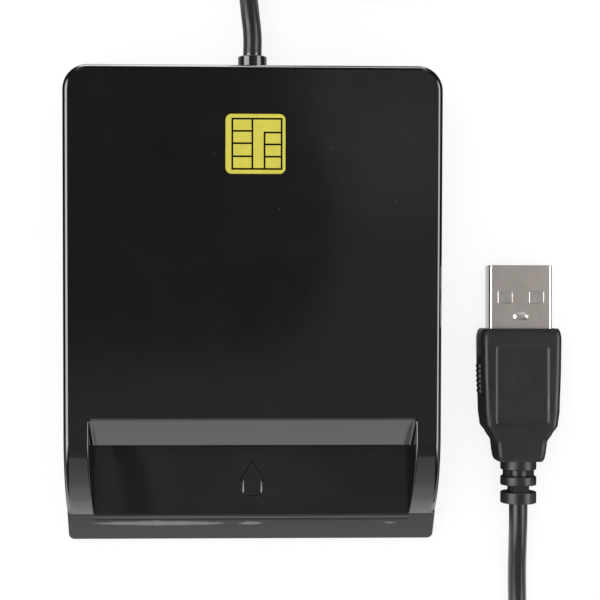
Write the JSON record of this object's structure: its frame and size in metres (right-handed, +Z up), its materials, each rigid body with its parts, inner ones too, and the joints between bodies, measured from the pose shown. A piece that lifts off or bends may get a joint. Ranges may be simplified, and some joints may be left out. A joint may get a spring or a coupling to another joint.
{
  "type": "smart card reader",
  "caption": "Desktop smart card reader: glossy black case with a scooped card mouth between curved ears, a gold chip emblem, and a captive lead with its plug.",
  "frame": {"origin": "on the table under the middle of the case, measured without the lead", "axes": "+X to the right, +Y from the card mouth to the lead's exit, +Z up"},
  "size_m": [0.1158, 0.1915, 0.014],
  "materials": {
    "cover_plastic": "high gloss black moulding",
    "base_plastic": "high gloss black moulding",
    "emblem": "printed olive gold inlay",
    "board": "green solder mask",
    "connector_plastic": "moulded engineering plastic",
    "chip_package": "moulded package",
    "ceramic": "ceramic and tinned ends",
    "contact_gold": "gold plated spring strip",
    "tin": "tinned strip",
    "screw_steel": "plated steel",
    "header_plastic": "natural moulding",
    "wire_jacket": "coloured wire insulation",
    "foot_rubber": "soft black rubber",
    "cable_jacket": "smooth black jacket",
    "gland_plastic": "flexible black moulding",
    "tie_plastic": "coated tie",
    "grip_plastic": "satin black overmould",
    "core_plastic": "natural inner moulding",
    "shell_nickel": "nickel plated sheet",
    "insert_plastic": "pale insulator"
  },
  "bodies": {
    "case": {"top_cover": "cover_plastic", "base_cover": "base_plastic", "chip_emblem": "emblem", "circuit_board": "board", "card_connector": "connector_plastic", "connector_feet": "tin", "card_switch": "connector_plastic", "controller_chip": "chip_package", "clock_crystal": "ceramic", "voltage_regulator": "chip_package", "board_passives": "ceramic", "wire_header": "header_plastic", "lead_wires": "wire_jacket", "board_screws": "screw_steel", "case_screws": "screw_steel", "rubber_feet": "foot_rubber", "cable_gland": "gland_plastic", "cable_lead_out": "cable_jacket", "cable_coil": "cable_jacket", "coil_tie": "tie_plastic", "cable_lead_in": "cable_jacket", "plug_grip": "grip_plastic", "plug_core": "core_plastic", "plug_shell": "shell_nickel", "plug_insert": "insert_plastic", "plug_contacts": "contact_gold"},
    "front_springs": {"contact_springs_front": "contact_gold"},
    "rear_springs": {"contact_springs_rear": "contact_gold"},
    "switch_lever": {"card_switch_lever": "tin"}
  },
  "joints": [
    {"name": "front_contacts_lift", "type": "hinge", "parent": "case", "child": "front_springs", "pos_m": [0.0031, 0.00743, 0.00856], "axis": [1, 0, 0], "range_deg": [0, 7], "stiffness_Nm_per_rad": 0.05},
    {"name": "rear_contacts_lift", "type": "hinge", "parent": "case", "child": "rear_springs", "pos_m": [0.0031, 0.01505, 0.00856], "axis": [1, 0, 0], "range_deg": [0, 7], "stiffness_Nm_per_rad": 0.05},
    {"name": "switch_lever_lift", "type": "hinge", "parent": "case", "child": "switch_lever", "pos_m": [-0.018, 0.0214, 0.00856], "axis": [1, 0, 0], "range_deg": [0, 6], "stiffness_Nm_per_rad": 0.01}
  ]
}
